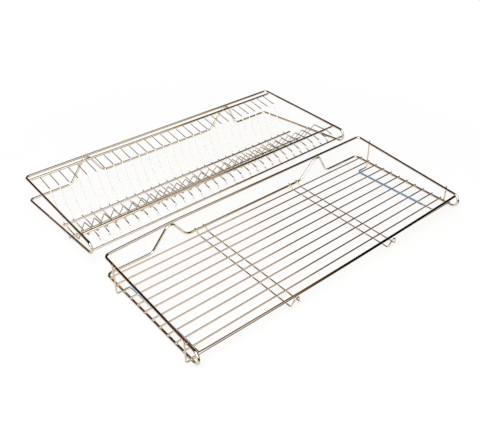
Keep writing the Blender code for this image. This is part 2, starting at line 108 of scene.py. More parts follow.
# %%
CAMERA_PLACE = (-0.79032, -0.96791, 0.85322)
CAMERA_RIGHT = (0.77008, -0.63779, -0.01436)
CAMERA_UP = (0.37187, 0.43050, 0.82242)
CAMERA_BACK = (-0.51835, -0.63868, 0.56869)
CAMERA_LENS_MM = 46.455
SENSOR_MM = 36

camera = bpy.data.objects.new("camera", bpy.data.cameras.new("camera"))
turn = Matrix((CAMERA_RIGHT, CAMERA_UP, CAMERA_BACK)).transposed().to_4x4()
camera.matrix_world = Matrix.Translation(CAMERA_PLACE) @ turn
camera.data.sensor_width = SENSOR_MM
camera.data.lens = CAMERA_LENS_MM
camera.data.dof.use_dof = False
bpy.context.collection.objects.link(camera)
bpy.context.scene.camera = camera
bpy.context.scene.view_settings.view_transform = "Standard"
print("camera at", CAMERA_PLACE, "lens", CAMERA_LENS_MM, "mm")

# %% [markdown]
# ## The studio
# Polished chrome has no colour of its own: it shows the room. In the photograph the wires are
# white where they mirror the bright front and the table, and black where they mirror the dark
# room behind and to the right. So the world has three faces: plain white for the camera and
# for rays through glass, an even soft light for matt surfaces, and for mirror rays a room with
# one wide bright front. The room itself is guessed from the tones of the wires.

# %%
world = bpy.data.worlds.new("studio")
world.use_nodes = True
bpy.context.scene.world = world
tree = world.node_tree
tree.nodes.clear()

PLAIN_WHITE = (1.0, 1.0, 1.0, 1.0)
SOFT_LIGHT = (0.88, 0.88, 0.88, 1.0)
# How bright the front is at its left and at its right, and between which X it changes
BRIGHT_LEFT = 2.3
BRIGHT_RIGHT = 1.25
BRIGHT_X = (-0.20, 0.35)
# Each row: along what, where its edge starts and where the light is full, for a unit direction
FRONT_EDGES = {
    "front": ("Y", -0.12, -0.34),
    "right end": ("X", 0.635, 0.43),
    "lower edge": ("Z less X", 0.0, 0.12),
}
STAND_EDGES = {
    "one side": ("flank", -0.31, -0.26),
    "other side": ("flank", -0.10, -0.15),
    "behind": ("Y", -0.10, -0.25),
    "foot": ("Z", 0.08, 0.14),
}
WALL_LEVEL = 0.15
WALL_EDGES = {
    "behind": ("Y", 0.15, 0.40),
    "foot": ("Z", 0.0, 0.06),
    "top": ("Z", 0.44, 0.32),
}
STRIP_LEVEL = 0.16
STRIP_EDGES = {
    "near": ("Y", 0.30, 0.36),
    "far": ("Y", 0.52, 0.46),
    "height": ("Z", 0.70, 0.80),
}
# The front's lower edge is measured along Z plus this much of X, and the stand's two sides
# along the way that the near hump's flank rises
LOWER_SLANT = -0.40
NEAR_HUMP_FLANK = (0.633, 0.0, 0.774)
# The tones from no light (0) to full light (1)
NO_LIGHT = "#0b0806"
HALF_LIGHT = ((0.14, "#4d3020"), (0.45, "#9c7448"), (0.72, "#e8d8be"))
FULL_LIGHT = (1.0, 0.985, 0.955, 1.0)

direction = add(tree, "TexCoord").outputs["Generated"]
axes = dict(add(tree, "SeparateXYZ", {"Vector": direction}).outputs.items())
axes["Z less X"] = calc(tree, "MULTIPLY_ADD", axes["X"], LOWER_SLANT, axes["Z"])
axes["flank"] = add(tree, "VectorMath", {0: direction, 1: NEAR_HUMP_FLANK},
                    operation="DOT_PRODUCT").outputs["Value"]


def soft_box(edges, strength):
    """A soft-edged patch in the world: the product of one smooth step for each edge."""
    level = strength
    for axis, start, full in edges.values():
        step = add(tree, "MapRange", {"Value": axes[axis], "From Min": start, "From Max": full},
                   interpolation_type="SMOOTHSTEP").outputs["Result"]
        level = calc(tree, "MULTIPLY", step, level)
    return level


front_box = soft_box(FRONT_EDGES, 1.0)
# A straight wire mirrors one ring of directions, which keep their slope along the wire. A dark
# stand leans along the ring of the near hump's rising flank, and so it blackens that flank
stand = soft_box(STAND_EDGES, -1.0)
front_box = calc(tree, "MULTIPLY_ADD", front_box, stand, front_box)
# A narrow, dim strip over the back puts an edge on the wires when the set is seen from behind
back_strip = soft_box(STRIP_EDGES, STRIP_LEVEL)
# The room's back wall is a dim brown, below a dark ceiling
back_wall = soft_box(WALL_EDGES, WALL_LEVEL)
lit = calc(tree, "MAXIMUM", calc(tree, "MAXIMUM", front_box, back_strip), back_wall)
# The edge of the light is warm: the dark room turns brown, then cream, then white
ramp = add(tree, "ValToRGB", {"Fac": lit})
stops = ramp.color_ramp.elements
stops[0].color = linear(NO_LIGHT)
stops[1].color = FULL_LIGHT
for position, colour in HALF_LIGHT:
    stop = stops.new(position)
    stop.color = linear(colour)
# The front is one wide window: brightest at its left, weaker to the right
gain = add(tree, "MapRange", {
    "Value": axes["X"], "From Min": BRIGHT_X[0], "From Max": BRIGHT_X[1],
    "To Min": BRIGHT_LEFT, "To Max": BRIGHT_RIGHT}).outputs["Result"]
room = add(tree, "VectorMath", {0: ramp.outputs["Color"], "Scale": gain}, operation="SCALE")
path = add(tree, "LightPath").outputs
matt_or_mirror = blend(tree, path["Is Glossy Ray"], SOFT_LIGHT, room.outputs[0])
# A ray that comes through glass would see the same plain white as the camera
plain = calc(tree, "MAXIMUM", path["Is Camera Ray"], path["Is Transmission Ray"])
seen = blend(tree, plain, matt_or_mirror, PLAIN_WHITE)
background = add(tree, "Background", {"Color": seen, "Strength": 1.0})
add(tree, "OutputWorld", {"Surface": background.outputs[0]})

# One soft lamp from the front left draws the faint shadows on the table
KEY_PLACE = (-1.0, -0.9, 1.5)
KEY_SIZE = 0.9
KEY_WATTS = 12

key = bpy.data.objects.new("key", bpy.data.lights.new("key", "AREA"))
key.data.size = KEY_SIZE
key.data.energy = KEY_WATTS
# It looks at the origin: a lamp shines along its own -Z
back = np.array(KEY_PLACE) / np.linalg.norm(KEY_PLACE)
side = np.cross((0, 0, 1), back)
side /= np.linalg.norm(side)
rows = (side.tolist(), np.cross(back, side).tolist(), back.tolist())
key.matrix_world = Matrix.Translation(KEY_PLACE) @ Matrix(rows).transposed().to_4x4()
bpy.context.collection.objects.link(key)
print("key light", KEY_WATTS, "W at", KEY_PLACE)

# %% [markdown]
# ## The table
# A sheet of matt white paper. Most of what the camera sees of it is plain white, as in a
# picture that was exposed for the background; the rest takes the light, so the wires keep
# their faint shadow.

# %%
TABLE_HALF = 5.0
PAPER_COLOUR = "#fbfbfa"
PAPER_GRAIN_PER_M = 900.0
PAPER_RELIEF = 0.0001
PAPER_RELIEF_SHARE = 0.15
# The share of plain white among the racks, and how far out from them it becomes the whole
GLOW_SHARE = 0.72
CLEAR_FROM = (0.62, 0.95)
# What the wires mirror: the paper up to its front edge, and the dark floor before it
PAPER_MIRRORED = (1.0, 0.985, 0.95, 1.0)
FLOOR_MIRRORED = "#16110d"
PAPER_FRONT_Y = (-0.405, -0.368)
# The shade under the plate rack's seats: its two edges in Y, its depth and its colour
SEAT_SHADE_NEAR = (0.08, 0.12)
SEAT_SHADE_FAR = (0.22, 0.18)
SEAT_SHADE_SHARE = 0.65
SEAT_SHADE_COLOUR = "#3f2c20"

material, tree = empty_material("matt_white_paper")
place = add(tree, "TexCoord").outputs["Object"]
grain = noise(tree, place, PAPER_GRAIN_PER_M, 3.0)
bump = add(tree, "Bump", {"Height": grain, "Strength": PAPER_RELIEF_SHARE, "Distance": PAPER_RELIEF})
paper = add(tree, "BsdfDiffuse", {"Color": linear(PAPER_COLOUR), "Normal": bump.outputs[0]})
white = add(tree, "Emission", {"Color": PLAIN_WHITE, "Strength": 1.0})
path = add(tree, "LightPath").outputs
# Away from the racks the background is quite plain; near them it keeps a share of the shadow
reach = add(tree, "VectorMath", {0: place}, operation="LENGTH").outputs["Value"]
far = add(tree, "MapRange", {"Value": reach, "From Min": CLEAR_FROM[0], "From Max": CLEAR_FROM[1],
                             "To Min": GLOW_SHARE, "To Max": 1.0}, interpolation_type="SMOOTHSTEP")
plain = calc(tree, "MAXIMUM", path["Is Camera Ray"], path["Is Transmission Ray"])
share = calc(tree, "MULTIPLY", far.outputs["Result"], plain)
shown = add(tree, "MixShader", {0: share, 1: paper.outputs[0], 2: white.outputs[0]})
# In the wires the paper ends just in front of the glass rack, and a dark floor begins
spot = add(tree, "SeparateXYZ", {"Vector": place}).outputs["Y"]
on_paper = add(tree, "MapRange", {"Value": spot, "From Min": PAPER_FRONT_Y[0],
                                  "From Max": PAPER_FRONT_Y[1]}, interpolation_type="SMOOTHSTEP")
tone = blend(tree, on_paper.outputs["Result"], linear(FLOOR_MIRRORED), PAPER_MIRRORED)
# The seats and base rails lie close over the paper, and a brown band stands for their shade in
# what the dividers mirror
shade = SEAT_SHADE_SHARE
for start, full in (SEAT_SHADE_NEAR, SEAT_SHADE_FAR):
    step = add(tree, "MapRange", {"Value": spot, "From Min": start, "From Max": full},
               interpolation_type="SMOOTHSTEP").outputs["Result"]
    shade = calc(tree, "MULTIPLY", step, shade)
shaded = blend(tree, shade, tone, linear(SEAT_SHADE_COLOUR))
mirrored = add(tree, "Emission", {"Color": shaded, "Strength": 1.0})
mixed = add(tree, "MixShader", {0: path["Is Glossy Ray"], 1: shown.outputs[0],
                                2: mirrored.outputs[0]})
add(tree, "OutputMaterial", {"Surface": mixed.outputs[0]})

sheet = bpy.data.meshes.new("table")
corners = np.array([[-1, -1, 0], [1, -1, 0], [1, 1, 0], [-1, 1, 0]]) * TABLE_HALF
sheet.from_pydata(corners.tolist(), [], [[0, 1, 2, 3]])
sheet.materials.append(material)
table = bpy.data.objects.new("table", sheet)
bpy.context.collection.objects.link(table)
print("table", 2 * TABLE_HALF, "m wide")

# %% [markdown]
# ## Something pale behind the racks
# The far right rim of the plate rack is golden in the photograph, and the near left rim is
# black, though both run the same way. So what they mirror stands close by. The photograph
# doesn't show what it was, and a door of pale oak stands in for it. Only mirror rays meet it.

# %%
DOOR_X = (0.10, 1.10)
DOOR_Y = 1.0
DOOR_Z = (0.05, 0.85)
OAK_PALE = "#e0c39c"
OAK_DARK = "#c6a47b"
OAK_STRETCH = (9.0, 1.0, 0.9)
OAK_FIGURE_PER_M = 2.0

material, tree = empty_material("pale_oak_door_in_the_mirror")
place = add(tree, "TexCoord").outputs["Object"]
figure = add(tree, "Mapping", {"Vector": place, "Scale": OAK_STRETCH}).outputs[0]
wood = noise(tree, figure, OAK_FIGURE_PER_M, 3.0)
tone = blend(tree, wood, linear(OAK_PALE), linear(OAK_DARK))
glow = add(tree, "Emission", {"Color": tone, "Strength": 1.0})
clear = add(tree, "BsdfTransparent")
mirror_ray = add(tree, "LightPath").outputs["Is Glossy Ray"]
mixed = add(tree, "MixShader", {0: mirror_ray, 1: clear.outputs[0], 2: glow.outputs[0]})
add(tree, "OutputMaterial", {"Surface": mixed.outputs[0]})

panel = bpy.data.meshes.new("door")
panel.from_pydata([(DOOR_X[a], DOOR_Y, DOOR_Z[b]) for a, b in ((0, 0), (1, 0), (1, 1), (0, 1))],
                  [], [[0, 1, 2, 3]])
panel.materials.append(material)
door = bpy.data.objects.new("door", panel)
bpy.context.collection.objects.link(door)
print("door", round(DOOR_X[1] - DOOR_X[0], 2), "m wide")

# %% [markdown]
# ## Chrome on drawn wire
# The wire is pulled through a die, which leaves fine lines along it. Nickel and chromium are
# then plated on, and they soften the lines without hiding them. So the finish is a mirror
# whose blur varies a little, with lines that run along the wire. The first texture
# coordinate of each wire is metres along it, and the second is metres round it.

# %%
LINE_PER_M = (45.0, 5200.0, 1.0)
CLOUD_PER_M = 55.0
PIT_PER_M = 2600.0
PIT_SHARE = 0.35
RELIEF_SHARE = 0.35
# Lines times cloud lies mostly between these two values
BLUR_FROM = (0.10, 0.45)
LINE_DEPTH = 0.000005
BEAD_DEPTH = 0.00003


def plated(name, bright, dull, smooth, rough, depth):
    """Chrome plate: a mirror in two close tones whose blur drifts between two values."""
    material, tree = empty_material(name)
    coordinates = add(tree, "TexCoord").outputs
    stretched = add(tree, "Mapping", {"Vector": coordinates["UV"], "Scale": LINE_PER_M}).outputs[0]
    lines = noise(tree, stretched, 1.0, 4.0)
    cloud = noise(tree, coordinates["Object"], CLOUD_PER_M, 5.0, Roughness=0.6)
    pits = noise(tree, coordinates["Object"], PIT_PER_M, 2.0)
    # Cloudy tone: thin grease and handling, broad and hardly visible
    tone = blend(tree, cloud, linear(bright), linear(dull))
    # Blur: lines times cloud, so highlights break up along the wire
    both = calc(tree, "MULTIPLY", lines, cloud)
    blur = add(tree, "MapRange", {"Value": both, "From Min": BLUR_FROM[0], "From Max": BLUR_FROM[1],
                                  "To Min": smooth, "To Max": rough}).outputs["Result"]
    relief = calc(tree, "MULTIPLY_ADD", pits, PIT_SHARE, lines)
    bump = add(tree, "Bump", {"Height": relief, "Strength": RELIEF_SHARE, "Distance": depth})
    shader = add(tree, "BsdfPrincipled", {"Base Color": tone, "Metallic": 1.0, "Roughness": blur,
                                          "Normal": bump.outputs[0]})
    add(tree, "OutputMaterial", {"Surface": shader.outputs[0]})
    return material


# Thick frame wire: a bright, even mirror
frame_chrome = plated("chrome_plate_on_drawn_frame_wire", "#e4dcd0", "#d0c5b5",
                      smooth=0.02, rough=0.08, depth=LINE_DEPTH)
# The thin wire is a little warmer and duller
wire_chrome = plated("chrome_plate_on_thin_drawn_wire", "#ded1bf", "#c8b7a2",
                     smooth=0.03, rough=0.11, depth=LINE_DEPTH)
# The dividers' long sweeps nearly vanish into the white, so theirs is palest: real plate, with painted
# light in its paler tones
divider_chrome_painted_light = plated("chrome_plate_on_bent_divider_wire_painted_light", "#faf5ec", "#ece3d6",
                        smooth=0.03, rough=0.11, depth=LINE_DEPTH)
# Resistance welds are plated over a rough, squeezed-out bead
weld_chrome = plated("chrome_plate_over_weld_bead", "#d3cbc0", "#a89a8a",
                     smooth=0.20, rough=0.42, depth=BEAD_DEPTH)
print("four chrome finishes")

# %% [markdown]
# ## The blue sleeves
# A soft vinyl tube is pushed over each tray wire, so that a drip tray slides quietly. It is
# extruded: satin, with faint lengthwise lines and a fine grain, and nearly one colour.

# %%
VINYL_BLUE = "#5a8bb4"
VINYL_PALE = "#7099bd"
VINYL_BLUR = (0.30, 0.52)
VINYL_LINE_PER_M = (30.0, 2400.0, 1.0)
VINYL_CLOUD_PER_M = 40.0
VINYL_GRAIN_PER_M = 3500.0
VINYL_GRAIN_SHARE = 0.5
VINYL_RELIEF = 0.00004
VINYL_RELIEF_SHARE = 0.4

vinyl, tree = empty_material("extruded_satin_blue_vinyl")
coordinates = add(tree, "TexCoord").outputs
stretched = add(tree, "Mapping", {"Vector": coordinates["UV"], "Scale": VINYL_LINE_PER_M}).outputs[0]
lines = noise(tree, stretched, 1.0, 3.0)
cloud = noise(tree, coordinates["Object"], VINYL_CLOUD_PER_M, 4.0)
grain = noise(tree, coordinates["Object"], VINYL_GRAIN_PER_M, 2.0)
# Two near blues: pigment and dust drift along the tube
tone = blend(tree, cloud, linear(VINYL_BLUE), linear(VINYL_PALE))
blur = add(tree, "MapRange", {"Value": cloud, "To Min": VINYL_BLUR[0],
                              "To Max": VINYL_BLUR[1]}).outputs["Result"]
relief = calc(tree, "MULTIPLY_ADD", grain, VINYL_GRAIN_SHARE, lines)
bump = add(tree, "Bump", {"Height": relief, "Strength": VINYL_RELIEF_SHARE,
                          "Distance": VINYL_RELIEF})
shader = add(tree, "BsdfPrincipled", {"Base Color": tone, "Roughness": blur,
                                      "Normal": bump.outputs[0]})
add(tree, "OutputMaterial", {"Surface": shader.outputs[0]})
print("one vinyl finish")

# %% [markdown]
# ## Bending a path
# A wire bender works with straight lengths and bend radii. The same list of corners makes the
# path here: each corner is replaced by an arc that touches both straights.

# %%
def vec(*values):
    """A point or a direction."""
    return np.array(values, float)


def unit(v):
    """The direction of v."""
    return v / np.linalg.norm(v)


def along(start, end, share):
    """The value this share of the way from start to end."""
    return start + (end - start) * share


def bent_path(corners, step_deg, closed=False):
    """Corners (point, radius) to a path of points, each corner an arc.

    With turn T and radius r the arc's centre is r / cos(T / 2) from the corner on the
    bisector, and an arc point is centre + cos(t) u + sin(t) w for t from 0 to T, where u is
    the first spoke and w the same length along the run that arrives.
    """
    count = len(corners)
    pieces = []
    for index, (corner, radius) in enumerate(corners):
        if not closed and index in (0, count - 1):
            pieces.append(corner[None])
            continue
        back = unit(corners[index - 1][0] - corner)
        ahead = unit(corners[(index + 1) % count][0] - corner)
        turn = math.pi - math.acos(np.clip(back @ ahead, -1, 1))
        centre = corner + unit(back + ahead) * (radius / math.cos(turn / 2))
        spoke = corner + back * radius * math.tan(turn / 2) - centre
        steps = max(2, round(math.degrees(turn) / step_deg))
        t = np.linspace(0, turn, steps + 1)[:, None]
        pieces.append(centre + np.cos(t) * spoke - np.sin(t) * back * radius)
    return np.concatenate(pieces)


quarter = bent_path([(vec(0, 0, 0), 0), (vec(1, 0, 0), 0.2), (vec(1, 1, 0), 0)], step_deg=10)
print("a quarter bend has", len(quarter), "points")

# %% [markdown]
# ## Sweeping a circle along it
# The circle needs two directions across the path at every point. They are carried along from
# point to point without spinning, so the drawing lines on the wire don't spiral.

# %%
# A unit vector counts as lying along an axis when its component there is at least this
NEARLY_ALONG = 0.9


def carried_frame(path, closed):
    """Tangents and two normals along a path: each normal is the last one made square again.

    T = P(i + 1) - P(i - 1), N(i) = unit(N(i - 1) - T (T . N(i - 1))), B = T x N. On a closed
    path the angle that is missing after one round is shared out along the length.
    """
    if closed:
        tangent = np.roll(path, -1, 0) - np.roll(path, 1, 0)
    else:
        tangent = np.gradient(path, axis=0)
    tangent /= np.linalg.norm(tangent, axis=1, keepdims=True)
    start = vec(0, 0, 1) if abs(tangent[0][2]) < NEARLY_ALONG else vec(0, 1, 0)
    normals = [unit(start - tangent[0] * (tangent[0] @ start))]
    order = list(range(1, len(path))) + ([0] if closed else [])
    for index in order:
        last = normals[-1]
        normals.append(unit(last - tangent[index] * (tangent[index] @ last)))
    twist = 0.0
    if closed:
        arrived = normals.pop()
        twist = math.atan2(np.cross(arrived, normals[0]) @ tangent[0], arrived @ normals[0])
    normal = np.array(normals)
    step = np.linalg.norm(np.diff(path, axis=0), axis=1)
    length = np.concatenate([[0], np.cumsum(step)])
    spin = (twist * length / length[-1])[:, None]
    binormal = np.cross(tangent, normal)
    turned = normal * np.cos(spin) + binormal * np.sin(spin)
    return tangent, turned, np.cross(tangent, turned), length


def surface(name, points, faces, uv, material):
    """A smooth mesh object. There is one texture coordinate for each corner of each face."""
    mesh = bpy.data.meshes.new(name)
    mesh.from_pydata(points.tolist(), [], faces)
    mesh.uv_layers.new(name="UVMap").data.foreach_set("uv", uv.ravel())
    mesh.polygons.foreach_set("use_smooth", np.ones(len(mesh.polygons), bool))
    mesh.materials.append(material)
    mesh.update()
    made = bpy.data.objects.new(name, mesh)
    bpy.context.collection.objects.link(made)
    return made


def swept(name, centre, normal, binormal, radius, length, sides, closed, material):
    """Rings P(i, a) = C(i) + r(i) (cos(a) N(i) + sin(a) B(i)), joined by quads.

    A closed sweep joins its last ring to its first. An open one ends in two fans.
    """
    rings = len(centre)
    angle = np.linspace(0, 2 * math.pi, sides, endpoint=False)
    across = (np.cos(angle)[None, :, None] * normal[:, None]
              + np.sin(angle)[None, :, None] * binormal[:, None])
    points = (centre[:, None] + radius[:, None, None] * across).reshape(-1, 3)
    ring = np.arange(rings if closed else rings - 1)[:, None]
    side = np.arange(sides)[None, :]
    after = (ring + 1) % rings
    beside = (side + 1) % sides
    quads = np.stack([ring * sides + side, ring * sides + beside,
                      after * sides + beside, after * sides + side], -1).reshape(-1, 4)
    round_m = 2 * math.pi * radius.max() / sides
    closing = length[-1] + np.linalg.norm(centre[0] - centre[-1])
    ahead_m = np.append(length, closing)[1:] if closed else length[1:]
    u_here = np.broadcast_to(length[:len(ring), None], (len(ring), sides))
    u_next = np.broadcast_to(ahead_m[:, None], (len(ring), sides))
    v_here = np.broadcast_to(side * round_m, (len(ring), sides))
    u = np.stack([u_here, u_here, u_next, u_next], -1).reshape(-1)
    v = np.stack([v_here, v_here + round_m, v_here + round_m, v_here], -1).reshape(-1)
    faces = quads.tolist()
    if not closed:
        first, last = len(points), len(points) + 1
        points = np.concatenate([points, centre[:1], centre[-1:]])
        one = np.arange(sides)
        two = (one + 1) % sides
        base = (rings - 1) * sides
        faces += np.stack([two, one, np.full(sides, first)], -1).tolist()
        faces += np.stack([base + one, base + two, np.full(sides, last)], -1).tolist()
        u = np.concatenate([u, np.full(3 * sides, length[0]), np.full(3 * sides, length[-1])])
        v = np.concatenate([v, np.tile([0.0, round_m, 0.0], 2 * sides)])
    return surface(name, points, faces, np.stack([u, v], -1), material)


EDGE_SHARE = 0.38
EDGE_STEPS = 4


def wire(node, path, radius, sides, material, closed=False):
    """A round wire that stands for a CAD node. Its sawn ends have a small rounded edge.

    Near an end the radius is r - b + b sin(t), at b (1 - cos(t)) from the end, t from 0 to 90
    degrees, with b the edge's size.
    """
    if not closed:
        edge = radius * EDGE_SHARE
        t = np.linspace(0, math.pi / 2, EDGE_STEPS)[:, None]
        start_way = unit(path[1] - path[0])
        end_way = unit(path[-2] - path[-1])
        start = path[0] + start_way * edge * (1 - np.cos(t))
        end = path[-1] + end_way * edge * (1 - np.cos(t))
        path = np.concatenate([start, path[1:-1], end[::-1]])
    _, normal, binormal, length = carried_frame(path, closed)
    radii = np.full(len(path), radius)
    if not closed:
        rounded = radius - edge + edge * np.sin(t[:, 0])
        radii[:EDGE_STEPS] = rounded
        radii[-EDGE_STEPS:] = rounded[::-1]
    made = swept(node + "_wire", path, normal, binormal, radii, length, sides, closed, material)
    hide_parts(node)
    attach(made, "root")
    return made


print("sweep ready: saw edge", EDGE_SHARE, "of a radius")

# %% [markdown]
# ## The racks' numbers
# Both racks share the wire sizes, the width between their end wires and the two humps in
# their lower rear wire. Their ends differ: the glass rack is low, the plate rack tall. All
# lengths are in metres, in each rack's own frame, which starts at the centre of its left end
# wire, at its front face and on the table.

# %%
FRAME_R = 0.003
SHELF_R = 0.00175
HAIRPIN_R = 0.0015
TRAY_R = 0.00175
DIVIDER_R = 0.0014
LIGHT_RAIL_R = 0.0025
SLEEVE_R = 0.00235
GAP = 0.0003
WIDTH = 0.765
REAR_Y = 0.3206
REAR_CORNER_R = 0.010
END_INSET = FRAME_R + GAP
GLASS_AT = vec(-0.38225, -0.34755, 0)
PLATE_AT = vec(-0.38655, 0.01785, 0)
# Sides of a wire's circle, and the degrees that one step of a bend turns
FRAME_SIDES = 24
LIGHT_RAIL_SIDES = 18
THIN_SIDES = 14
DIVIDER_SIDES = 12
SLEEVE_SIDES = 20
FRAME_STEP_DEG = 5
THIN_STEP_DEG = 8
DIVIDER_STEP_DEG = 9


class End:
    """One end of a frame: a rim run, a front bend and a floor run, in a plane across X."""

    def __init__(self, lower_rear_y, rim_front, rim_rear, floor_front, floor_rear):
        self.lower_rear_y = lower_rear_y
        self.rim = (rim_front, rim_rear)
        self.floor = (floor_front, floor_rear)
        rim_turn = math.pi / 2 - math.atan2(rim_rear - rim_front, REAR_Y - FRAME_R)
        floor_turn = math.pi / 2 + math.atan2(floor_rear - floor_front, lower_rear_y - FRAME_R)
        self.bend_r = (rim_front - floor_front) / (math.tan(rim_turn / 2) + math.tan(floor_turn / 2))
        self.bend_y = FRAME_R + self.bend_r
        self.bend_z = rim_front - self.bend_r * math.tan(rim_turn / 2)

    def rim_z(self, y):
        """Height of the rim run."""
        return along(*self.rim, (y - FRAME_R) / (REAR_Y - FRAME_R))

    def floor_z(self, y):
        """Height of the floor run."""
        return along(*self.floor, (y - FRAME_R) / (self.lower_rear_y - FRAME_R))

    def on_bend(self, x, radius, lean):
        """A point at this angle forward of the bend's top."""
        return vec(x, self.bend_y - radius * math.sin(lean), self.bend_z + radius * math.cos(lean))

    def corners(self, x):
        """The rim's rear, the two front corners and the floor's rear."""
        return [(vec(x, REAR_Y, self.rim[1]), REAR_CORNER_R),
                (vec(x, FRAME_R, self.rim[0]), self.bend_r),
                (vec(x, FRAME_R, self.floor[0]), self.bend_r),
                (vec(x, self.lower_rear_y, self.floor[1]), REAR_CORNER_R)]


# Each hump: its start as a share of the width, then the lengths of its rise, crown and fall
HUMP_LENGTHS = ((0.1444, 0.0425, 0.0145, 0.036), (0.7268, 0.045, 0.017, 0.031))
# From these: where it starts, where its crown starts and ends, and where it is down again
HUMPS = [np.cumsum([WIDTH * start, rise, crown, fall]) for start, rise, crown, fall in HUMP_LENGTHS]
START_BEND_R = 0.014
END_BEND_R = 0.024
CROWN_SHARE = 0.95
CREST_X = (HUMPS[0][1] + HUMPS[0][2]) / 2
CREST_BEND_R = 0.25


class Frame:
    """A rack's closed frame wire."""

    def __init__(self, left, right, middle_z, crest_z=None):
        self.left, self.right = left, right
        self.middle_z, self.crest_z = middle_z, crest_z

    def upper_z(self, x):
        """Height of the upper rear run, with a crest over the first hump if it has one."""
        if self.crest_z is None:
            return along(self.left.rim[1], self.right.rim[1], x / WIDTH)
        if x < CREST_X:
            return along(self.left.rim[1], self.crest_z, x / CREST_X)
        return along(self.crest_z, self.right.rim[1], (x - CREST_X) / (WIDTH - CREST_X))

    def floor_z(self, x, y):
        """Height of the plane through both floor runs."""
        return along(self.left.floor_z(y), self.right.floor_z(y), x / WIDTH)

    def rear_y(self, z):
        """Depth of the leaning rear plane."""
        share = (z - self.right.floor[1]) / (self.right.rim[1] - self.right.floor[1])
        return along(self.right.lower_rear_y, REAR_Y, share)

    def path(self, at):
        """The whole loop, moved to the rack's place."""
        levels = (self.left.floor[1], self.middle_z, self.right.floor[1])
        humps = []
        for number, (start, rise, fall, end) in enumerate(HUMPS):
            low, low_after = levels[number:number + 2]
            high, high_after = (self.upper_z(x) - 2 * FRAME_R - GAP for x in (rise, fall))
            reach = (math.tan(math.atan2(high - low, rise - start) / 2)
                     + math.tan(math.atan2(high_after - low_after, end - fall) / 2))
            crown_r = CROWN_SHARE * (fall - rise) / reach
            humps += [(start, low, START_BEND_R), (rise, high, crown_r),
                      (fall, high_after, crown_r), (end, low_after, END_BEND_R)]
        corners = self.left.corners(0)
        corners += [(vec(x, self.rear_y(z), z), radius) for x, z, radius in humps]
        corners += self.right.corners(WIDTH)[::-1]
        if self.crest_z is not None:
            corners.append((vec(CREST_X, REAR_Y, self.crest_z), CREST_BEND_R))
        return bent_path(corners, FRAME_STEP_DEG, closed=True) + at


# The lower rear runs lie this far behind the upper ones
GLASS_REAR_Y = REAR_Y + 0.0023
PLATE_REAR_Y = REAR_Y + 0.0061
glass = Frame(
    End(GLASS_REAR_Y, rim_front=0.0476, rim_rear=0.0739, floor_front=0.0169, floor_rear=0.0234),
    End(GLASS_REAR_Y, rim_front=0.0476, rim_rear=0.0816, floor_front=0.0166, floor_rear=0.0224),
    middle_z=0.0292, crest_z=0.0819)
plate = Frame(
    End(PLATE_REAR_Y, rim_front=0.0779, rim_rear=0.0945, floor_front=0.0500, floor_rear=0.0272),
    End(PLATE_REAR_Y, rim_front=0.0822, rim_rear=0.0955, floor_front=0.0500, floor_rear=0.0239),
    middle_z=0.0337)
print("front bends", [round(e.bend_r, 4) for f in (glass, plate) for e in (f.left, f.right)])

# %% [markdown]
# ## The frame wires
# One 6 mm wire makes each rack's whole outline: along the rim, round the front bend, back
# along the floor, then across the rear with two humps that rise to the upper run and are
# welded under it. It is bent on a jig, and its ends are butt welded into a loop.

# %%
for name, rack, at in (("glass_frame", glass, GLASS_AT), ("plate_frame", plate, PLATE_AT)):
    made = wire(name, rack.path(at), FRAME_R, FRAME_SIDES, frame_chrome, closed=True)
    print(name, len(made.data.polygons), "faces")

# %% [markdown]
# ## Rails between the ends
# Straight lengths of the same wire are welded between the end wires. The glass rack's front
# top rail bows forward by a few millimetres. The lower front rail of the plate rack is lighter,
# and is lapped on the inside of the bends.

# %%
BOW = 0.0039
BOW_POINTS = 25
# How far round its front bend each rail is welded, at the left and at the right
TOP_LEAN_DEG = (42, 31)
LOWER_LEAN_DEG = (120, 105)
# Centres of two rails of the plate rack: Y and Z
SECOND_RAIL = (REAR_Y - 0.0132, 0.0903)
TOP_RAIL = (0.0414, 0.0820)
LOWER_RAIL_INSIDE = 0.003
LOWER_RAIL_OVERRUN = 0.0015

share = np.linspace(0, 1, BOW_POINTS)[:, None]
top_ends = (glass.left.on_bend(END_INSET, glass.left.bend_r, math.radians(TOP_LEAN_DEG[0])),
            glass.right.on_bend(WIDTH - END_INSET, glass.right.bend_r, math.radians(TOP_LEAN_DEG[1])))
top_path = along(*top_ends, share) - vec(0, BOW, 0) * 4 * share * (1 - share)
wire("glass_front_top_rail", top_path + GLASS_AT, FRAME_R, FRAME_SIDES, frame_chrome)

for name, (y, z) in (("plate_second_rear_rail", SECOND_RAIL), ("plate_front_top_rail", TOP_RAIL)):
    path = np.array([vec(END_INSET, y, z), vec(WIDTH - END_INSET, y, z)]) + PLATE_AT
    wire(name, path, FRAME_R, FRAME_SIDES, frame_chrome)

lower_rail = np.array([
    plate.left.on_bend(END_INSET, plate.left.bend_r - LOWER_RAIL_INSIDE,
                       math.radians(LOWER_LEAN_DEG[0])),
    plate.right.on_bend(WIDTH + LOWER_RAIL_OVERRUN, plate.right.bend_r - END_INSET - LIGHT_RAIL_R,
                        math.radians(LOWER_LEAN_DEG[1]))])
wire("plate_front_lower_rail", lower_rail + PLATE_AT, LIGHT_RAIL_R, LIGHT_RAIL_SIDES, frame_chrome)
print("top rail bows", BOW * 1000, "mm")

# %% [markdown]
# ## The shelf of the glass rack
# Eleven thin wires and the front lower rail lie across the two floor runs. The photograph
# shows them a little closer together at the right than at the left. Their ends reach two or
# three millimetres past the centres of the end wires.

# %%
ABOVE_RUN = FRAME_R + GAP + SHELF_R
SHELF_WIRES = 11
FRONT_RAIL_Y = 0.0242
FIRST_Y = GLASS_REAR_Y - 0.0187
LAST_Y = FRONT_RAIL_Y + 0.0220
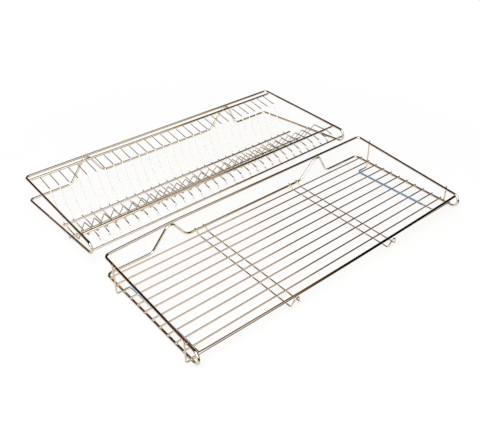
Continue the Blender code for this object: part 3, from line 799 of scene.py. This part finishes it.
# At the right the rearmost wire lies this much further forward, and the front one further back
REAR_SKEW = 0.002
FRONT_SKEW = 0.003
LEFT_OVERRUN = 0.003
RIGHT_OVERRUN = 0.002

# Each row: where the wire lies in Y at its left and at its right
shelf = {"glass_front_lower_rail": (FRONT_RAIL_Y, FRONT_RAIL_Y)}
for number in range(SHELF_WIRES):
    share = number / (SHELF_WIRES - 1)
    shelf[f"glass_shelf_wire_{number + 1:02d}"] = (
        along(FIRST_Y, LAST_Y, share), along(FIRST_Y - REAR_SKEW, LAST_Y + FRONT_SKEW, share))
for name, (left_y, right_y) in shelf.items():
    path = np.array([vec(-LEFT_OVERRUN, left_y, glass.left.floor_z(left_y) + ABOVE_RUN),
                     vec(WIDTH + RIGHT_OVERRUN, right_y, glass.right.floor_z(right_y) + ABOVE_RUN)])
    wire(name, path + GLASS_AT, SHELF_R, THIN_SIDES, wire_chrome)
print(len(shelf), "wires across the glass rack")

# %% [markdown]
# ## The hairpins
# Two long hairpins run from front to back under the shelf wires and keep them apart. Each is one
# wire: hooked over the lower rear run, straight below the shelf, and arched up at the front.

# %%
HAIRPIN_SHARES = (0.311, 0.692)
HAIRPIN_X = [WIDTH * share for share in HAIRPIN_SHARES]
HAIRPIN_HALF = 0.012
HAIRPIN_BEND_R = 0.004
# The hook ends this far behind the rear run's centre, and comes down this far before its front
HOOK_BEHIND = 0.002
HOOK_BEFORE = 0.0145
# The arch: Y of its foot, half its width on top, how far it leans forward and how high it rises
ARCH_FOOT_Y = 0.0083
ARCH_HALF = 0.005
ARCH_LEAN = 0.0035
ARCH_RISE = 0.0195


def hairpin_leg(centre_x, way):
    """One leg, from its hook at the rear to half of the arch at the front."""
    x = centre_x + way * HAIRPIN_HALF
    hook_z = glass.middle_z + FRAME_R + GAP + HAIRPIN_R
    crook_y = GLASS_REAR_Y - FRAME_R
    foot_y = crook_y - HOOK_BEFORE
    under = FRAME_R - HAIRPIN_R
    arch_z = glass.floor_z(x, ARCH_FOOT_Y) + under
    return [(vec(x, GLASS_REAR_Y + HOOK_BEHIND, hook_z), 0),
            (vec(x, crook_y, hook_z), HAIRPIN_BEND_R),
            (vec(x, foot_y, glass.floor_z(x, foot_y) + under), HAIRPIN_BEND_R),
            (vec(x, ARCH_FOOT_Y, arch_z), HAIRPIN_BEND_R),
            (vec(centre_x + way * ARCH_HALF, ARCH_FOOT_Y - ARCH_LEAN, arch_z + ARCH_RISE),
             HAIRPIN_BEND_R)]


for side, centre_x in zip(("left", "right"), HAIRPIN_X):
    path = bent_path(hairpin_leg(centre_x, -1) + hairpin_leg(centre_x, 1)[::-1], THIN_STEP_DEG)
    wire(f"glass_hairpin_{side}", path + GLASS_AT, HAIRPIN_R, THIN_SIDES, wire_chrome)
print("hairpins at", [round(x, 3) for x in HAIRPIN_X])

# %% [markdown]
# ## Tray supports and their sleeves
# Outside each end hangs a wire that goes down, under the rack and up again. The run below
# carries a drip tray, and a vinyl tube over it keeps the tray from rattling.

# %%
def hollow_tube(node, path, outer, inner, sides, material):
    """Outer rings forward and inner rings back, closed on themselves: a tube with a wall."""
    _, normal, binormal, length = carried_frame(path, closed=False)
    there = np.arange(len(path))
    order = np.concatenate([there, there[::-1]])
    radii = np.repeat([outer, inner], len(path))
    trip = np.concatenate([length, 2 * length[-1] - length[::-1]])
    made = swept(node + "_tube", path[order], normal[order], binormal[order], radii, trip,
                 sides, closed=True, material=material)
    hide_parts(node)
    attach(made, "root")
    return made


TRAY_DEPTH = 0.243
TRAY_REAR_Y = REAR_Y - 0.0403
TRAY_RIGHT_SHIFT = 0.005
TRAY_CORNER_R = 0.005
SLEEVE_REAR_INSET = 0.013
SLEEVE_FRONT_GAP = 0.0362
# Each row: end, its X and its outward way, then the rear post's Y, how far the posts rise past
# the rim, how far in the run lies, and the run's bend radius
TRAY_SETTINGS = {
    "left": (glass.left, 0.0, -1, TRAY_REAR_Y, 0.008, 0.028, 0.006),
    "right": (glass.right, WIDTH, 1, TRAY_REAR_Y + TRAY_RIGHT_SHIFT, 0.0045, 0.031, 0.012),
}
tray_contacts = []
for side, (end, end_x, way, rear_y, rise, inset, bend_r) in TRAY_SETTINGS.items():
    post_x = end_x + way * (FRAME_R + GAP + TRAY_R)
    run_x = end_x - way * inset
    front_y = rear_y - TRAY_DEPTH
    rear = [(vec(post_x, rear_y, end.rim_z(rear_y) + rise), 0),
            (vec(post_x, rear_y, SLEEVE_R), TRAY_CORNER_R), (vec(run_x, rear_y, SLEEVE_R), bend_r)]
    front = [(vec(run_x, front_y, SLEEVE_R), bend_r), (vec(post_x, front_y, SLEEVE_R), TRAY_CORNER_R),
             (vec(post_x, front_y, end.rim_z(front_y) + rise), 0)]
    wire(f"tray_support_{side}", bent_path(rear + front, THIN_STEP_DEG) + GLASS_AT, TRAY_R, THIN_SIDES,
         wire_chrome)
    sleeve = [(vec(end_x - way * SLEEVE_REAR_INSET, rear_y, SLEEVE_R), 0), rear[2],
              (vec(run_x, front_y + SLEEVE_FRONT_GAP, SLEEVE_R), 0)]
    hollow_tube(f"tray_sleeve_{side}", bent_path(sleeve, THIN_STEP_DEG) + GLASS_AT, SLEEVE_R,
                TRAY_R + GAP, SLEEVE_SIDES, vinyl)
    for y in (rear_y, front_y):
        for z in (end.rim_z(y), end.floor_z(y)):
            tray_contacts.append(vec(end_x + way * FRAME_R, y, z))
print("tray supports", TRAY_DEPTH * 1000, "mm deep")

# %% [markdown]
# ## The dividers of the plate rack
# Thirty thin wires make the slots. Each comes down from the second rear rail, leans out to a
# knee, sweeps forward to the seat near the floor, and rises to a peak at the front. There it
# passes under the top rail and turns down to the lower one. A press bends them all alike; the
# front half skews a little from the first to the last, as the rack itself does.

# %%
DIVIDERS = 30
FIRST_X = 0.0291
LAST_X = WIDTH - 0.0254
# Corners along a divider, from the rear to the front: Y and Z, or Y alone on the seat
KNEE = (0.2552, 0.0810)
WAIST = (0.2384, 0.0418)
SEAT_REAR_Y = 0.2129
SEAT_LOW_Y = 0.1679
SEAT_FRONT_Y = 0.1373
PEAK = (0.0873, 0.0756)
NOSE = (0.0213, 0.0725)
CHIN = (0.0195, 0.0667)
SEAT_RISE = 0.0045
# How much further back or up the last divider has them than the first
SEAT_FRONT_SKEW = 0.0055
PEAK_SKEW = (0.0025, 0.0012)
DIVIDER_BEND_R = 0.004
WAIST_BEND_R = 0.030
NOSE_BEND_R = 0.003


def seat_z(y):
    """Centre height of the seat, which rises a little behind its low point."""
    return DIVIDER_R + SEAT_RISE * max(0.0, (y - SEAT_LOW_Y) / (SEAT_REAR_Y - SEAT_LOW_Y))


def divider_corners(x, skew):
    """The corners of one divider, in the plane across X. The skew runs from 0 to 1."""
    rail = vec(0, *SECOND_RAIL)
    knee = vec(0, *KNEE)
    chin = vec(0, *CHIN)
    lower = along(*lower_rail, x / WIDTH)
    lower[0] = 0
    front_y = SEAT_FRONT_Y + SEAT_FRONT_SKEW * skew
    peak = vec(0, PEAK[0] + PEAK_SKEW[0] * skew, PEAK[1] + PEAK_SKEW[1] * skew)
    top_z = TOP_RAIL[1] - (FRAME_R + GAP + DIVIDER_R)
    seat = [(vec(0, y, seat_z(y)), DIVIDER_BEND_R) for y in (SEAT_REAR_Y, SEAT_LOW_Y, front_y)]
    return [(rail + unit(knee - rail) * END_INSET, 0), (knee, DIVIDER_BEND_R),
            (vec(0, *WAIST), WAIST_BEND_R), *seat, (peak, DIVIDER_BEND_R),
            (vec(0, TOP_RAIL[0], top_z), DIVIDER_BEND_R), (vec(0, *NOSE), NOSE_BEND_R),
            (chin, NOSE_BEND_R), (lower + unit(chin - lower) * (LIGHT_RAIL_R + GAP), 0)]


divider_x = np.linspace(FIRST_X, LAST_X, DIVIDERS)
divider_ends = []
for number, x in enumerate(divider_x):
    corners = divider_corners(x, number / (DIVIDERS - 1))
    path = bent_path(corners, DIVIDER_STEP_DEG) + PLATE_AT + vec(x, 0, 0)
    wire(f"plate_divider_{number + 1:02d}", path, DIVIDER_R, DIVIDER_SIDES, divider_chrome_painted_light)
    divider_ends.append((path[0] - PLATE_AT, path[1] - path[0],
                         path[-1] - PLATE_AT, path[-2] - path[-1]))
print(DIVIDERS, "dividers,", round((LAST_X - FIRST_X) / (DIVIDERS - 1) * 1000, 2), "mm apart")

# %% [markdown]
# ## Base rails
# Two 5 mm rails lie across the seats and hold the dividers in step.

# %%
REAR_BASE_Y = 0.1989
FRONT_BASE_Y = 0.1509
FRONT_BASE_SKEW = 0.0055
RIGHT_END_X = LAST_X + 0.0147
# Each row: X and Y of the rail's left end and of its right end
BASE_RAILS = {
    "plate_rear_base_rail": ((FIRST_X - 0.0088, REAR_BASE_Y), (RIGHT_END_X, REAR_BASE_Y)),
    "plate_front_base_rail": ((FIRST_X - 0.0163, FRONT_BASE_Y),
                              (RIGHT_END_X, FRONT_BASE_Y + FRONT_BASE_SKEW)),
}
seat_slope = math.atan2(SEAT_RISE, SEAT_REAR_Y - SEAT_LOW_Y)
rail_rise = (DIVIDER_R + GAP + LIGHT_RAIL_R) / math.cos(seat_slope)
base_paths = {}
for name, ends in BASE_RAILS.items():
    base_paths[name] = np.array([vec(x, y, seat_z(y) + rail_rise) for x, y in ends])
    wire(name, base_paths[name] + PLATE_AT, LIGHT_RAIL_R, LIGHT_RAIL_SIDES, frame_chrome)
print("base rails", [round(p[0][2] * 1000, 1) for p in base_paths.values()], "mm up")

# %% [markdown]
# ## Welds
# Where wires cross, a resistance welder squeezes them together and a little metal is pushed out
# round the contact. Each nugget is a flattened ball between two wires. There are more than two
# hundred, so each has only a few dozen faces, and one rack's nuggets make one mesh.

# %%
NUGGET_ROUND = 8
NUGGET_RINGS = 5
# A nugget's half sizes, twice across the contact and once along it, as shares of a wire's radius
NUGGET_HALVES = (1.25, 1.25, 0.62)
# Between two thick wires a weld is smaller for their size
THICK_SHARE = 0.8
HOOK_WELD_BEFORE = 0.0008


def nuggets(name, places, ways, sizes):
    """Flattened balls P = C + a (cos(p) cos(t) U + cos(p) sin(t) V) + b sin(p) W.

    W is the way through the contact, and U and V lie across it.
    """
    places, ways, sizes = np.array(places), np.array(ways, float), np.array(sizes)
    ways /= np.linalg.norm(ways, axis=1, keepdims=True)
    helper = np.where(np.abs(ways[:, :1]) < NEARLY_ALONG, vec(1, 0, 0), vec(0, 1, 0))
    across = np.cross(ways, helper)
    across /= np.linalg.norm(across, axis=1, keepdims=True)
    third = np.cross(ways, across)
    p = np.linspace(-math.pi / 2, math.pi / 2, NUGGET_RINGS + 2)[1:-1]
    t = np.linspace(0, 2 * math.pi, NUGGET_ROUND, endpoint=False)
    flat = np.stack([np.outer(np.cos(p), np.cos(t)), np.outer(np.cos(p), np.sin(t)),
                     np.outer(np.sin(p), np.ones_like(t))], -1).reshape(-1, 3)
    flat = np.concatenate([flat, [[0, 0, -1], [0, 0, 1]]])
    scaled = flat[None] * np.outer(sizes, NUGGET_HALVES)[:, None]
    points = (places[:, None] + scaled[..., :1] * across[:, None]
              + scaled[..., 1:2] * third[:, None] + scaled[..., 2:] * ways[:, None])
    ring = np.arange(NUGGET_RINGS - 1)[:, None] * NUGGET_ROUND
    one = np.arange(NUGGET_ROUND)
    two = (one + 1) % NUGGET_ROUND
    body = np.stack([ring + one, ring + two, ring + NUGGET_ROUND + two, ring + NUGGET_ROUND + one], -1)
    body = body.reshape(-1, 4)
    south, north = NUGGET_RINGS * NUGGET_ROUND, NUGGET_RINGS * NUGGET_ROUND + 1
    top = (NUGGET_RINGS - 1) * NUGGET_ROUND
    caps = np.concatenate([np.stack([two, one, np.full(NUGGET_ROUND, south)], -1),
                           np.stack([top + one, top + two, np.full(NUGGET_ROUND, north)], -1)])
    shift = (np.arange(len(places)) * len(flat))[:, None, None]
    quads = (body[None] + shift).reshape(-1, 4)
    fans = (caps[None] + shift).reshape(-1, 3)
    points = points.reshape(-1, 3)
    # The texture coordinates are simply X and Y: a bead has no drawing lines to follow
    plan = points[np.concatenate([quads.ravel(), fans.ravel()]), :2]
    made = surface(name, points, quads.tolist() + fans.tolist(), plan, weld_chrome)
    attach(made, "root")
    return made


UP = vec(0, 0, 1)
ACROSS = vec(1, 0, 0)
LEG_X = [centre_x + way * HAIRPIN_HALF for centre_x in HAIRPIN_X for way in (-1, 1)]
glass_welds = []
for left_y, right_y in shelf.values():
    for x, y, end in ((0, left_y, glass.left), (WIDTH, right_y, glass.right)):
        glass_welds.append((vec(x, y, end.floor_z(y) + FRAME_R), UP, SHELF_R))
    for x in LEG_X:
        y = along(left_y, right_y, x / WIDTH)
        glass_welds.append((vec(x, y, glass.floor_z(x, y) + FRAME_R), UP, HAIRPIN_R))
for x in LEG_X:
    hook = vec(x, GLASS_REAR_Y - HOOK_WELD_BEFORE, glass.middle_z + FRAME_R)
    glass_welds.append((hook, UP, HAIRPIN_R))
glass_welds += [(place, ACROSS, TRAY_R) for place in tray_contacts]
glass_welds += [(top_path[0] - vec(GAP, 0, 0), ACROSS, FRAME_R * THICK_SHARE),
                (top_path[-1] + vec(GAP, 0, 0), ACROSS, FRAME_R * THICK_SHARE)]

plate_welds = []
for x, (top, top_way, bottom, bottom_way) in zip(divider_x, divider_ends):
    plate_welds.append((top, top_way, DIVIDER_R))
    plate_welds.append((bottom, bottom_way, DIVIDER_R))
    plate_welds.append((vec(x, TOP_RAIL[0], TOP_RAIL[1] - FRAME_R), UP, DIVIDER_R))
    for path in base_paths.values():
        spot = along(path[0], path[1], (x - path[0][0]) / (path[1][0] - path[0][0]))
        plate_welds.append((spot - vec(0, 0, LIGHT_RAIL_R), UP, DIVIDER_R))
for y, z in (SECOND_RAIL, TOP_RAIL):
    plate_welds += [(vec(x, y, z), ACROSS, FRAME_R * THICK_SHARE) for x in (FRAME_R, WIDTH - FRAME_R)]
plate_welds.append((lower_rail[0] - vec(GAP, 0, 0), ACROSS, LIGHT_RAIL_R * THICK_SHARE))
for welds, rack in ((glass_welds, glass), (plate_welds, plate)):
    for hump in HUMPS:
        x = (hump[1] + hump[2]) / 2
        z = rack.upper_z(x) - FRAME_R
        welds.append((vec(x, rack.rear_y(z), z), UP, FRAME_R * THICK_SHARE))

for name, at, welds in (("glass_welds", GLASS_AT, glass_welds), ("plate_welds", PLATE_AT, plate_welds)):
    places, ways, sizes = zip(*welds)
    made = nuggets(name, np.array(places) + at, ways, sizes)
    print(name, len(welds), "nuggets,", len(made.data.polygons), "faces")
